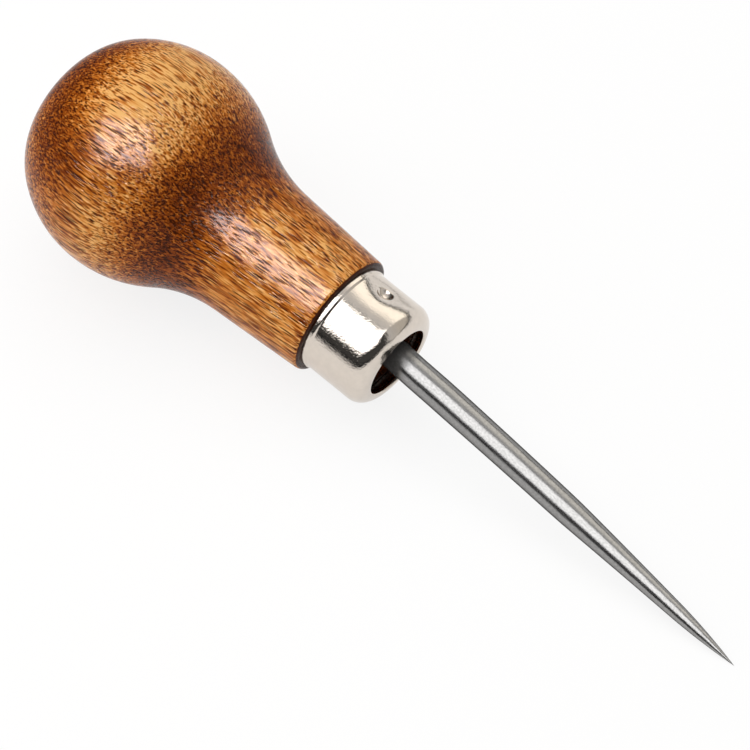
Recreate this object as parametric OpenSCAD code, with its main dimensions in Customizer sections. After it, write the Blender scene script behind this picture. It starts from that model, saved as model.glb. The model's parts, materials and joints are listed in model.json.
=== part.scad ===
// Bradawl: a turned hardwood handle, a drawn metal ferrule and a round pointed blade with a square tang.
// Each piece is drawn along the handle's axis, with z = 0 at the shoulder and +z towards the point.
// It is then laid down the way the tool lies on a bench, on its bulb and on the tip of its blade.

/* [Handle] */
// Diameter of the bulb at its widest
bulb_d = 34; // [30:0.5:38]
// Radius of the arc behind the widest part of the bulb
bulb_back_r = 17.8; // [16.5:0.1:20]
// Radius of the rounding that runs from that arc to the flat at the butt
butt_round_r = 12.5; // [11:0.1:14]
// Angle, from the widest part, at which the arc gives way to the rounding
butt_turn = 36; // [25:1:45]
// Radius of the arc that runs from the widest part of the bulb towards the grip
bulb_front_r = 20; // [18:0.5:24]
// Radius of the hollow that blends the bulb into the grip
cove_r = 21; // [14:0.5:25]
// Distance from the widest part of the bulb to the shoulder
bulb_to_shoulder = 36.6; // [34:0.1:44]
// Height of the shoulder above the barrel of the ferrule
shoulder_step = 1.15; // [1:0.05:2]
// Taper of the grip, each side, in degrees
grip_taper = 3.7; // [1.5:0.05:4.5]
// Radius of the rounded rim of the shoulder
shoulder_round = 0.95; // [0.3:0.05:1]

/* [Ferrule] */
// Outside diameter of the barrel
ferrule_d = 16; // [14:0.1:18]
// Length from the shoulder to the plane of the mouth
ferrule_len = 10.1; // [8:0.1:14]
// Thickness of the sheet that the cup is drawn from
sheet = 0.6; // [0.4:0.05:1]
// Outside radius of the rounded nose
nose_r = 2.4; // [1.5:0.1:3.5]
// Diameter of the mouth that the blade comes out of
mouth_d = 10.7; // [8:0.1:12]
// Height of the collar at the shoulder above the barrel
collar_rise = 0.06; // [0.04:0.01:0.3]
// Length of the collar
collar_len = 0.6; // [0.4:0.05:1.5]
// Length of the slope from the collar down to the barrel
collar_slope = 0.35; // [0.2:0.05:1]

/* [Stake] */
// Width of the dimple that is punched through the ferrule into the wood
stake_w = 2.5; // [1.5:0.1:3.2]
// Depth of the dimple
stake_depth = 0.7; // [0.4:0.05:0.9]
// Distance from the shoulder to the middle of the dimple
stake_from_shoulder = 3.9; // [3:0.1:5]
// Angle of the dimple round the ferrule, from its top towards +Y
stake_clock = 26; // [0:1:90]

/* [Blade] */
// Diameter of the round shank
shank_d = 4.4; // [4:0.1:5]
// Length of blade that stands out of the mouth
blade_len = 61.5; // [50:0.1:80]
// Length in front of the mouth over which the shank keeps its full width
straight_len = 9; // [4:0.5:14]
// Diameter at the end of the slight draw of the shank, where the taper starts
taper_d = 3.95; // [3:0.05:4]
// Length of the taper, measured back from the tip
taper_len = 30; // [25:0.1:36]
// Length of the ground point, measured back from the tip
point_len = 10.2; // [8:0.1:12]
// Diameter where the ground point starts
point_d = 2.2; // [2.1:0.05:2.5]
// Half angle of the point at its very tip
tip_angle = 9.2; // [9:0.1:12]
// Length of round shank that is sunk in the wood
shank_seat = 8; // [4:0.5:14]
// Length of the square tang
tang_len = 26; // [15:0.5:32]
// Width of the tang across its flats where it leaves the shank
tang_w = 2.9; // [2:0.1:3.4]
// Width of the tang across its flats at its end
tang_end_w = 1.5; // [1:0.1:1.9]

/* [Assembly] */
// Angle by which the driven blade leans off the axis of the handle
blade_lean = 3.6; // [0:0.1:5]
// Direction of the lean, from the -Y side towards the bench
lean_clock = 30; // [0:1:60]
// Distance in front of the mouth at which the two axes cross
lean_pivot = 10; // [0:0.5:20]
// Gap between the ferrule and the wood that it is driven on to
ferrule_fit = 0.1; // [0.05:0.01:0.2]
// Gap between the blade and the wood that it is driven into
blade_fit = 0.1; // [0.05:0.01:0.2]

/* [Hidden] */
$fn = 96;
// Steps round a full circle for the long shallow arc of the point
long_arc_steps = 1440;

// Room by which cutting shapes run past the faces that they cut
over = 1;
// Depth by which an arc runs past the outline that it touches, so that the two cross cleanly
bite = 0.01;

// Handle outline
bulb_r = bulb_d / 2;
back_x = bulb_r - bulb_back_r;
front_x = bulb_r - bulb_front_r;
bulb_z = -bulb_to_shoulder;
// The rounding at the butt touches the back arc at butt_turn, so its centre lies on that radius of the arc.
butt_x = back_x + (bulb_back_r - butt_round_r) * cos(butt_turn);
butt_drop = (bulb_back_r - butt_round_r) * sin(butt_turn);
butt_r = butt_round_r + bite;
butt_end_z = bulb_z - butt_drop - butt_r;
barrel_r = ferrule_d / 2;
grip_end_r = barrel_r + shoulder_step;
grip_slope = tan(grip_taper);

// The cove circle touches the front arc of the bulb and the straight side of the grip.
// Its centre is cove_r outside both, which gives a quadratic for its place along the axis.
cove_x0 = grip_end_r + cove_r / cos(grip_taper);
cove_reach = bulb_front_r + cove_r;
cove_a = 1 + grip_slope * grip_slope;
cove_b = (cove_x0 - front_x) * grip_slope + bulb_z;
cove_c = pow(cove_x0 - front_x, 2) + bulb_z * bulb_z - cove_reach * cove_reach;
cove_z = (cove_b + sqrt(cove_b * cove_b - cove_a * cove_c)) / cove_a;
cove_x = cove_x0 - grip_slope * cove_z;
// Places on the axis that lie under the two points where the cove circle touches
cove_back_z = bulb_z - front_x * (cove_z - bulb_z) / (cove_x - front_x);
cove_front_z = cove_z - grip_slope * cove_x;
grip_start_z = cove_z - cove_r * sin(grip_taper) - over;
// The rounding of the shoulder touches the side of the grip and the shoulder face.
round_x = grip_end_r + grip_slope * shoulder_round - shoulder_round / cos(grip_taper);

// Ferrule and the tenon inside it
bore_r = barrel_r - sheet;
mouth_r = mouth_d / 2;
nose_bore_r = nose_r - sheet;
tenon_r = bore_r - ferrule_fit;
tenon_len = ferrule_len - nose_r - ferrule_fit;

// The dimple is part of a ball that rises out of the barrel.
stake_ball_r = (stake_w * stake_w / 4 + stake_depth * stake_depth) / (2 * stake_depth);
stake_ball_x = barrel_r + stake_ball_r - stake_depth;

// Blade, measured along its own axis from the plane of the mouth
shank_r = shank_d / 2;
point_r = point_d / 2;
taper_start = blade_len - taper_len;
point_start = blade_len - point_len;
shank_end = tenon_len - ferrule_len - shank_seat;
taper_r = taper_d / 2;
taper_slope = (taper_r - point_r) / (taper_len - point_len);
tip_r = point_r - taper_slope * point_len;
// The ground point is an arc through its start and the tip, at tip_angle to the axis at the tip.
point_arc_r = (point_r * point_r + point_len * point_len)
    / (2 * (point_len * sin(tip_angle) - point_r * cos(tip_angle)));
point_arc_x = -point_arc_r * cos(tip_angle);
point_arc_z = blade_len - point_arc_r * sin(tip_angle);

// Lying pose: the front arc of the bulb and the tip both touch the bench.
reach = blade_len - lean_pivot;
tip_z = ferrule_len + lean_pivot + reach * cos(blade_lean);
tip_drop = reach * sin(blade_lean) * sin(lean_clock);
tip_run = tip_z - bulb_z;
rise = tip_drop - front_x;
tilt = asin(bulb_front_r / sqrt(tip_run * tip_run + rise * rise)) - atan(rise / tip_run);
bulb_height = bulb_front_r + front_x * cos(tilt);
back_end = -(butt_r + butt_x * sin(tilt) + butt_drop * cos(tilt));
front_end = tip_run * cos(tilt) - tip_drop * sin(tilt);
bulb_at = -(back_end + front_end) / 2;

// Turns the axis of the handle down on to the bench, with the origin under the middle of the tool.
module lay_down() {
    translate([bulb_at, 0, bulb_height])
        rotate([0, 90 + tilt, 0])
            translate([0, 0, -bulb_z]) children();
}

// Puts a shape that is drawn from the mouth along the blade on to the blade's own leaning axis.
module on_blade_axis() {
    translate([0, 0, ferrule_len + lean_pivot])
        rotate([0, 0, lean_clock - 90])
            rotate([0, blade_lean, 0])
                translate([0, 0, -lean_pivot]) children();
}

// A ball round the middle of the punched dimple.
module stake_ball(r) {
    rotate([0, 0, 180 - stake_clock])
        translate([stake_ball_x, 0, stake_from_shoulder]) sphere(r);
}

// A square bar that tapers from one width to another, as two crossed wedges.
module square_taper(start_w, end_w, len) {
    side = max(start_w, end_w) + over;
    wedge = [[-start_w / 2, 0], [start_w / 2, 0], [end_w / 2, -len], [-end_w / 2, -len]];
    intersection() {
        rotate([90, 0, 0]) linear_extrude(side, center = true) polygon(wedge);
        rotate([90, 0, 90]) linear_extrude(side, center = true) polygon(wedge);
    }
}

// Half outline of a round cup of the given radius, length and nose radius, closed at its nose.
module cup_outline(r, len, nose) {
    square([r, len - nose]);
    translate([0, len - nose]) square([r - nose, nose]);
    intersection() {
        translate([r - nose, len - nose]) circle(nose);
        translate([r - nose, len - nose]) square(nose + over);
    }
}

// Half outline of the bulb: an arc and a tighter rounding behind its widest part, and an arc in front of it.
module bulb_outline() {
    ray = bulb_back_r + 2 * over;
    translate([0, butt_end_z]) square([butt_x, bulb_z - butt_end_z]);
    intersection() {
        translate([butt_x, bulb_z - butt_drop]) circle(butt_r);
        translate([butt_x, butt_end_z - over]) square([bulb_r, bulb_z - butt_end_z + over]);
    }
    intersection() {
        translate([back_x, bulb_z]) circle(bulb_back_r);
        polygon([[0, bulb_z], [bulb_r + 2 * over, bulb_z],
            [back_x + ray * cos(butt_turn), bulb_z - ray * sin(butt_turn)],
            [butt_x, bulb_z - butt_drop], [0, bulb_z - butt_drop]]);
    }
    intersection() {
        translate([front_x, bulb_z]) circle(bulb_front_r);
        translate([0, bulb_z]) square([bulb_r + over, bulb_front_r]);
    }
}

// Half outline of the hollow between bulb and grip, then of the grip up to its shoulder.
module grip_outline() {
    difference() {
        polygon([[0, cove_back_z], [cove_x, cove_z], [0, cove_front_z]]);
        translate([cove_x, cove_z]) circle(cove_r + bite);
    }
    difference() {
        polygon([[0, grip_start_z], [grip_end_r - grip_slope * grip_start_z, grip_start_z], [grip_end_r, 0], [0, 0]]);
        translate([round_x, -shoulder_round])
            difference() {
                square(2 * shoulder_round);
                circle(shoulder_round + bite);
            }
    }
}

module handle() {
    color([0.62, 0.36, 0.13])
        lay_down()
            difference() {
                union() {
                    rotate_extrude() {
                        bulb_outline();
                        grip_outline();
                    }
                    cylinder(h = tenon_len, r = tenon_r);
                }
                on_blade_axis() {
                    translate([0, 0, shank_end - blade_fit])
                        cylinder(h = shank_seat + nose_r + over, r = shank_r + blade_fit);
                    translate([0, 0, shank_end])
                        square_taper(tang_w + 2 * blade_fit, tang_end_w + 2 * blade_fit, tang_len + blade_fit);
                }
                stake_ball(stake_ball_r + sheet + ferrule_fit);
            }
}

module ferrule() {
    color([0.80, 0.78, 0.74])
        lay_down()
            difference() {
                union() {
                    rotate_extrude()
                        difference() {
                            union() {
                                cup_outline(barrel_r, ferrule_len, nose_r);
                                polygon([[0, 0], [barrel_r + collar_rise, 0], [barrel_r + collar_rise, collar_len],
                                    [barrel_r, collar_len + collar_slope], [0, collar_len + collar_slope]]);
                            }
                            translate([0, -over]) cup_outline(bore_r, ferrule_len - sheet + over, nose_bore_r);
                            square([mouth_r, ferrule_len + over]);
                        }
                    intersection() {
                        stake_ball(stake_ball_r + sheet);
                        cylinder(h = ferrule_len - nose_r, r = barrel_r - sheet / 2);
                    }
                }
                stake_ball(stake_ball_r);
            }
}

module blade() {
    color([0.56, 0.56, 0.57])
        lay_down()
            on_blade_axis() {
                rotate_extrude() {
                    polygon([[0, shank_end], [shank_r, shank_end], [shank_r, straight_len], [taper_r, taper_start],
                        [point_r + taper_slope * over, point_start - over], [0, point_start - over]]);
                    intersection() {
                        polygon([[0, point_start - 2 * over], [point_r + 2 * taper_slope * over, point_start - 2 * over],
                            [tip_r, blade_len], [0, blade_len]]);
                        translate([point_arc_x, point_arc_z]) circle(point_arc_r, $fn = long_arc_steps);
                    }
                }
                translate([0, 0, shank_end]) square_taper(tang_w, tang_end_w, tang_len);
            }
}

handle();
ferrule();
blade();
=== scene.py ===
import json
import math

import bpy
import numpy as np
from bpy.props import FloatProperty, FloatVectorProperty, PointerProperty
from mathutils import Matrix, Vector


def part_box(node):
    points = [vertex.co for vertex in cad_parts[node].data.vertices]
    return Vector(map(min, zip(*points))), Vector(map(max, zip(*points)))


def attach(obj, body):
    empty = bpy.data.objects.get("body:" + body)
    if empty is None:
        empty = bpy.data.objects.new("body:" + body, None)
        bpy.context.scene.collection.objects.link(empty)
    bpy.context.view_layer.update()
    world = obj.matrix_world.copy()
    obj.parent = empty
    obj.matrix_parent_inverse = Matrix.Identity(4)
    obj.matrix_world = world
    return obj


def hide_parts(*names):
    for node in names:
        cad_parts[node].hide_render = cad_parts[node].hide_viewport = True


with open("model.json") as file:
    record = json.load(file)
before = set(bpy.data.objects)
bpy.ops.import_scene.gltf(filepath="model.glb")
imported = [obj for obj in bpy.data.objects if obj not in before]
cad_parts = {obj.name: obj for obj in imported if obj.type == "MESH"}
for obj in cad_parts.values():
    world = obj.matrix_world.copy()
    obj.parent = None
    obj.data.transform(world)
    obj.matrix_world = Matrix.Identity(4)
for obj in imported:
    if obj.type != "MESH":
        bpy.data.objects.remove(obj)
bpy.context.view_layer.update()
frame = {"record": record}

bl_info = {
    "name": "Bradawl",
    "version": (1, 0, 0),
    "blender": (4, 5, 0),
    "location": "View3D > Sidebar > Bradawl",
    "description": "Builds a bradawl with a turned handle, a drawn ferrule and a tapered round blade",
    "category": "Add Mesh",
}

BODY = "root"
HANDLE_NAME = "turned_handle"
FERRULE_NAME = "drawn_ferrule"
BLADE_NAME = "tapered_blade"
MM = 0.001
# A size that keeps a division from zero
TINY = 1e-9
WHITE = (1.0, 1.0, 1.0)

# Steps round a full turn and rows along each stretch of the three surfaces
HANDLE_STEPS = 192
FERRULE_STEPS = 384
BLADE_STEPS = 96
LONG_ROWS = 48
MID_ROWS = 24
EDGE_ROWS = 10
# Share by which the steps round the ferrule crowd towards its dimple
CROWDING = 0.7
# Share of the dimple's width, to each side of its middle, over which the rows crowd
DIMPLE_SPAN = 0.6
# Share of the blade in front of the mouth over which its bow comes in
BOW_START = 0.12

# The frame of the tool: the record's mount is the barrel of the ferrule, on the axis of the handle. The axis
# has its zero where the solids have their shoulder.
BARREL = frame["record"]["mounts"][0]
BARREL_MIDDLE = Vector(BARREL["pos_m"])
AXIS = Vector(BARREL["axis"]).normalized()
SIDE = Vector((0.0, 1.0, 0.0))
DOWN = SIDE.cross(AXIS)
BULB_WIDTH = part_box("handle")[1].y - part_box("handle")[0].y
BARREL_WIDTH = 2.0 * BARREL["dims"]["r_mm"] * MM


def length(name, default, description):
    """A length that the user can change, in metres."""
    return FloatProperty(name=name, description=description, default=default, min=0.0,
                         precision=5, unit="LENGTH")


def angle(name, default, description):
    """An angle that the user can change, given in degrees and kept in radians."""
    return FloatProperty(name=name, description=description, default=math.radians(default), unit="ROTATION")


def share(name, default, description):
    """A plain number that the user can change."""
    return FloatProperty(name=name, description=description, default=default, min=0.0, precision=4)


def colour(name, default, description):
    """A colour that the user can change, in linear light."""
    return FloatVectorProperty(name=name, description=description, default=default,
                               min=0.0, max=1.0, subtype="COLOR")


class HandleSizes(bpy.types.PropertyGroup):
    """Sizes of the turned handle."""

    bulb_width: length("Bulb Width", BULB_WIDTH, "Diameter of the bulb at its widest")
    back_radius: length("Back Radius", 17.8 * MM, "Radius of the arc behind the widest part")
    butt_radius: length("Butt Radius", 12.5 * MM, "Radius of the rounding from that arc to the butt flat")
    butt_turn: angle("Butt Turn", 36.0, "Angle from the widest part at which that rounding starts")
    front_radius: length("Front Radius", 20.0 * MM, "Radius of the arc from the widest part towards the grip")
    cove_radius: length("Cove Radius", 21.0 * MM, "Radius of the hollow between bulb and grip")
    bulb_to_shoulder: length("Bulb To Shoulder", 36.6 * MM, "Length from the widest part to the axis's zero")
    shoulder_step: length("Shoulder Step", 1.15 * MM, "Height of the shoulder above the ferrule's barrel")
    grip_taper: angle("Grip Taper", 3.7, "Taper of the grip on each side")
    rim_radius: length("Rim Radius", 0.7 * MM, "Rounding of the rim of the shoulder")
    face_back: length("Face Back", 0.25 * MM, "Distance of the shoulder's face behind the axis's zero")


class FerruleSizes(bpy.types.PropertyGroup):
    """Sizes of the drawn ferrule."""

    width: length("Width", BARREL_WIDTH, "Outside diameter of the barrel")
    reach: length("Length", 10.1 * MM, "Length from the axis's zero to the mouth")
    sheet: length("Sheet", 0.6 * MM, "Thickness of the sheet")
    nose_radius: length("Nose Radius", 2.4 * MM, "Outside radius of the rounded nose")
    mouth_width: length("Mouth Width", 10.7 * MM, "Diameter of the mouth")
    collar_rise: length("Collar Rise", 0.19 * MM, "Height of the collar above the barrel")
    collar_length: length("Collar Length", 0.37 * MM, "Length of the collar in front of the axis's zero")
    collar_slope: length("Collar Slope", 0.38 * MM, "Length of the step from the collar down to the barrel")
    rim_edge: length("Rim Edge", 0.1 * MM, "Rounding of the edge at the shoulder")
    mouth_edge: length("Mouth Edge", 0.23 * MM, "Rounding of the edge of the mouth")
    dimple_width: length("Dimple Width", 2.5 * MM, "Width of the punched dimple")
    dimple_depth: length("Dimple Depth", 0.7 * MM, "Depth of the punched dimple")
    dimple_lip: length("Dimple Lip", 0.05 * MM, "Softness of the edge of the dimple")
    sink_depth: length("Sink Depth", 0.5 * MM, "Depth of the hollow that the punch drew in round the dimple")
    sink_width: length("Sink Width", 2.6 * MM, "Distance at which that hollow fades to a third")
    sink_start: length("Sink Start", 0.3 * MM, "Distance from the axis's zero at which that hollow starts")
    sink_rise: length("Sink Rise", 1.5 * MM, "Length over which that hollow comes in")
    dimple_place: length("Dimple Place", 3.9 * MM, "Distance from the axis's zero to the dimple's middle")
    dimple_turn: angle("Dimple Turn", 26.0, "Angle of the dimple round the ferrule, from its top")
    fit: length("Fit", 0.1 * MM, "Gap between the ferrule and the wood")


class BladeSizes(bpy.types.PropertyGroup):
    """Sizes of the blade and its tang."""

    width: length("Shank Width", 4.4 * MM, "Diameter of the round shank")
    reach: length("Length", 61.5 * MM, "Length that stands out of the mouth")
    straight: length("Straight Length", 9.0 * MM, "Length of shank that keeps its full width")
    taper_width: length("Taper Width", 3.95 * MM, "Diameter where the taper starts")
    taper_length: length("Taper Length", 30.0 * MM, "Length of the taper, back from the tip")
    point_length: length("Point Length", 10.2 * MM, "Length of the ground point, back from the tip")
    point_width: length("Point Width", 2.2 * MM, "Diameter where the ground point starts")
    tip_angle: angle("Tip Angle", 9.2, "Half angle at the very tip")
    blend: length("Blend", 1.0 * MM, "Softness of the change from shank to taper")
    bow: length("Bow", 0.29 * MM, "Sag of the blade between its mouth and its tip")
    seat: length("Seat", 8.0 * MM, "Length of round shank sunk in the wood")
    tang_length: length("Tang Length", 26.0 * MM, "Length of the square tang")
    tang_width: length("Tang Width", 2.9 * MM, "Width of the tang where it leaves the shank")
    tang_end_width: length("Tang End Width", 1.5 * MM, "Width of the tang at its end")
    lean: angle("Lean", 3.6, "Angle between the blade and the axis of the handle")
    lean_turn: angle("Lean Turn", 30.0, "Direction of the lean, towards the bench")
    lean_pivot: length("Lean Pivot", 10.0 * MM, "Distance in front of the mouth where the axes cross")
    fit: length("Fit", 0.1 * MM, "Gap between the blade and the wood")


class Colours(bpy.types.PropertyGroup):
    """Colours of the finishes."""

    wood_pale: colour("Wood Pale", (0.81, 0.44, 0.14), "Palest fibres of the stained wood")
    wood_straw: colour("Wood Straw", (0.69, 0.285, 0.06), "Pale side grain of the stained wood")
    wood_gold: colour("Wood Gold", (0.51, 0.15, 0.016), "Side grain of the stained wood")
    wood_brown: colour("Wood Brown", (0.27, 0.057, 0.0035), "Half-open grain of the stained wood")
    wood_dark: colour("Wood Dark", (0.1, 0.0155, 0.001), "End grain that took the most stain")
    pore: colour("Pore", (0.04, 0.0085, 0.001), "Stain in the open pores")
    nickel: colour("Nickel", (0.69, 0.62, 0.55), "Plate of the ferrule")
    steel: colour("Steel", (0.35, 0.345, 0.34), "Bare steel of the blade")
    floor: colour("Floor", (0.98, 0.98, 0.98), "Floor and backdrop")


class StageSettings(bpy.types.PropertyGroup):
    """Camera and light."""

    view_azimuth: angle("View Azimuth", 41.1433, "Direction that the camera stands in, round the tool")
    view_elevation: angle("View Elevation", 52.4198, "Height of the camera above the horizon")
    view_distance: length("View Distance", 450.0 * MM, "Distance of the camera")
    aim_left: length("Aim Left", 2.4279 * MM, "Distance that the view's middle lies left of the origin")
    aim_up: length("Aim Up", 4.2318 * MM, "Distance that the view's middle lies above the origin")
    lens: FloatProperty(name="Lens", description="Focal length of the camera", default=156.19,
                        unit="CAMERA")
    key_level: share("Key Level", 1.63, "Brightness of the large light above, where 1 is white")
    fill_level: share("Fill Level", 1.0, "Brightness of the light from the front left")
    room_level: share("Room Level", 0.25, "Even light from all sides")
    varnish_level: share("Varnish Level", 41.0, "Brightness of the light that the varnish shows")
    metal_level: share("Metal Level", 2.7, "Brightness of the light that the metal shows")


class BradawlSettings(bpy.types.PropertyGroup):
    """Everything about the bradawl that can be set."""

    handle: PointerProperty(type=HandleSizes)
    ferrule: PointerProperty(type=FerruleSizes)
    blade: PointerProperty(type=BladeSizes)
    colours: PointerProperty(type=Colours)
    stage: PointerProperty(type=StageSettings)


# Surfaces


def arc(centre_r, centre_z, radius, start, end, rows):
    """Rows of (radius, height) on a circle: centre plus radius times (cos, sin) of an even run of angles."""
    turn = np.linspace(start, end, rows)
    return np.column_stack([centre_r + radius * np.cos(turn), centre_z + radius * np.sin(turn)])


def line(start, end, rows):
    """Rows of (radius, height) at even steps on the straight line between two points."""
    return np.linspace(start, end, rows)


def even_turn(steps):
    """Angles at even steps round a full turn."""
    return np.arange(steps) * (2.0 * np.pi / steps)


def crowded_turn(steps, middle):
    """Angles round a full turn that crowd towards a middle: a less a share of sin(a - middle)."""
    turn = even_turn(steps)
    return turn - CROWDING * np.sin(turn - middle)


def turned(outline, turn):
    """A half outline carried round the axis: (r cos a, r sin a, z) for each row and each angle a."""
    radius = outline[:, :1]
    height = np.broadcast_to(outline[:, 1:2], (len(outline), len(turn)))
    return np.stack([radius * np.cos(turn), radius * np.sin(turn), height], -1)


def to_frame(points, shoulder):
    """Points on the handle's own axes, x down, y to the side and z along the axis, put into the frame."""
    axes = np.array([DOWN, SIDE, AXIS])
    return points @ axes + np.array(shoulder)


def shoulder_point():
    """The zero of the axis: half the wall of the ferrule back from the wall's middle."""
    return BARREL_MIDDLE - AXIS * (0.5 * BARREL["dims"]["length_mm"] * MM)


def eased(value):
    """A smooth step from 0 to 1 as the value goes from 0 to 1: 3 v^2 - 2 v^3."""
    part = np.clip(value, 0.0, 1.0)
    return part * part * (3.0 - 2.0 * part)


def dimple_middle(ferrule):
    """The angle round the axis at which the dimple lies."""
    return math.pi - ferrule.dimple_turn


def rounded_floor(value, width):
    """A rounded max(value, 0): width times log(1 + exp(value / width))."""
    return width * np.logaddexp(0.0, value / width)


def dimple_dent(points, radius, ferrule, grow):
    """Depth by which the punch ball, grown by a skin, pushes in a wall of the given radius.

    It is the height of the ball's surface past the wall, at each point's distance from the middle of
    the dimple, with its cut-off at zero rounded over the width of the lip. A wide hollow round it, a bell
    curve of the distance that fades out at the collar, adds to it.
    """
    half = 0.5 * ferrule.dimple_width
    ball = (half * half + ferrule.dimple_depth ** 2) / (2.0 * ferrule.dimple_depth)
    ball_place = 0.5 * ferrule.width + ball - ferrule.dimple_depth
    turn = np.arctan2(points[..., 1], points[..., 0]) - dimple_middle(ferrule)
    turn = (turn + np.pi) % (2.0 * np.pi) - np.pi
    across = (radius * turn) ** 2 + (points[..., 2] - ferrule.dimple_place) ** 2
    height = np.sqrt(np.maximum((ball + grow) ** 2 - across, 0.0)) - (ball_place - radius)
    held = eased((points[..., 2] - ferrule.sink_start) / ferrule.sink_rise)
    sink = ferrule.sink_depth * held * np.exp(-across / ferrule.sink_width ** 2)
    return rounded_floor(height, ferrule.dimple_lip) + sink


def press_in(points, depth):
    """Points moved towards the axis by a depth: x and y are scaled by (r - depth) / r."""
    radius = np.maximum(np.hypot(points[..., 0], points[..., 1]), TINY)
    scale = (radius - depth) / radius
    return points * np.stack([scale, scale, np.ones_like(scale)], -1)


def blade_line(points, blade, ferrule):
    """Points drawn along the blade put on its leaning axis.

    They are turned about the pivot by the lean, swung round to the lean's direction, and moved to the mouth.
    """
    swing = blade.lean_turn - 0.5 * math.pi
    turn = Matrix.Rotation(swing, 3, "Z") @ Matrix.Rotation(blade.lean, 3, "Y")
    from_pivot = points - np.array([0.0, 0.0, blade.lean_pivot])
    return from_pivot @ np.array(turn).T + np.array([0.0, 0.0, ferrule.reach + blade.lean_pivot])


def squared(outline, turn):
    """Square rings on an axis: at angle a the radius is half the width over max(|cos a|, |sin a|)."""
    reach = outline[:, :1] / np.maximum(np.abs(np.cos(turn)), np.abs(np.sin(turn)))
    height = np.broadcast_to(outline[:, 1:2], reach.shape)
    return np.stack([reach * np.cos(turn), reach * np.sin(turn), height], -1)


def tenon_radius(ferrule):
    """Radius of the tenon: one gap inside the sheet of the ferrule."""
    return 0.5 * ferrule.width - ferrule.sheet - ferrule.fit


def tenon_end(ferrule):
    """Height at which the tenon ends: one gap behind the start of the nose."""
    return ferrule.reach - ferrule.nose_radius - ferrule.fit


def shank_end(ferrule, blade):
    """Height on the blade's own line, from the mouth, at which the shank gives way to the tang."""
    return tenon_end(ferrule) - ferrule.reach - blade.seat


def skin(name, rings, first=None, last=None, looped=False):
    """An object over a grid of rings.

    Quads join each ring to the next and wrap round it. A point at either end closes the skin with a fan,
    or, if it is looped, the last ring joins the first.
    """
    rows, steps = rings.shape[:2]
    index = np.arange(rows * steps).reshape(rows, steps)
    if looped:
        index = np.vstack([index, index[:1]])
    near = index[:-1]
    far = index[1:]
    quads = np.stack([near, np.roll(near, -1, 1), np.roll(far, -1, 1), far], -1).reshape(-1, 4)
    faces = quads.tolist()
    points = rings.reshape(-1, 3)
    if first is not None:
        pole = np.full(steps, len(points))
        faces += np.column_stack([pole, np.roll(index[0], -1), index[0]]).tolist()
        points = np.vstack([points, first])
    if last is not None:
        pole = np.full(steps, len(points))
        faces += np.column_stack([pole, index[-1], np.roll(index[-1], -1)]).tolist()
        points = np.vstack([points, last])
    mesh = bpy.data.meshes.new(name)
    mesh.from_pydata(points.tolist(), [], faces)
    mesh.shade_smooth()
    mesh.update()
    piece = bpy.data.objects.new(name, mesh)
    bpy.context.scene.collection.objects.link(piece)
    return piece


def handle_outline(handle, ferrule):
    """Half outline of the wood outside the ferrule, from the butt to the foot of the tenon.

    A rounding runs from the butt flat into the arc behind the widest part, and a flatter arc leaves it.
    A cove arc touches that arc and the straight tapering side of the grip: its centre lies one cove radius
    outside both, which gives a quadratic for its place. A small arc rounds the rim of the shoulder into its
    flat face.
    """
    bulb = 0.5 * handle.bulb_width
    widest = -handle.bulb_to_shoulder
    back_r = bulb - handle.back_radius
    butt_r = back_r + (handle.back_radius - handle.butt_radius) * math.cos(handle.butt_turn)
    butt_z = widest - (handle.back_radius - handle.butt_radius) * math.sin(handle.butt_turn)
    front_r = bulb - handle.front_radius
    grip_end = 0.5 * ferrule.width + handle.shoulder_step
    slope = math.tan(handle.grip_taper)
    line_r = grip_end + handle.cove_radius / math.cos(handle.grip_taper)
    span = handle.front_radius + handle.cove_radius
    square = 1.0 + slope * slope
    half_linear = (line_r - front_r) * slope + widest
    constant = (line_r - front_r) ** 2 + widest ** 2 - span ** 2
    cove_z = (half_linear + math.sqrt(half_linear ** 2 - square * constant)) / square
    cove_r = line_r - slope * cove_z
    meet = math.atan2(cove_z - widest, cove_r - front_r)
    rim = handle.rim_radius
    rim_z = -handle.face_back - rim
    rim_r = grip_end - slope * rim_z - rim / math.cos(handle.grip_taper)
    butt = arc(butt_r, butt_z, handle.butt_radius, -0.5 * math.pi, -handle.butt_turn, MID_ROWS)
    flat = line((0.0, butt[0, 1]), butt[0], EDGE_ROWS)[1:-1]
    back = arc(back_r, widest, handle.back_radius, -handle.butt_turn, 0.0, MID_ROWS)[1:]
    front = arc(front_r, widest, handle.front_radius, 0.0, meet, LONG_ROWS)[1:]
    cove = arc(cove_r, cove_z, handle.cove_radius, meet + math.pi, math.pi + handle.grip_taper, MID_ROWS)[1:]
    rounding = arc(rim_r, rim_z, rim, handle.grip_taper, 0.5 * math.pi, 2 * EDGE_ROWS)
    grip = line(cove[-1], rounding[0], LONG_ROWS)[1:-1]
    face = line(rounding[-1], (tenon_radius(ferrule), -handle.face_back), EDGE_ROWS)[1:]
    return np.vstack([flat, butt, back, front, cove, grip, rounding, face])


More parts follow.
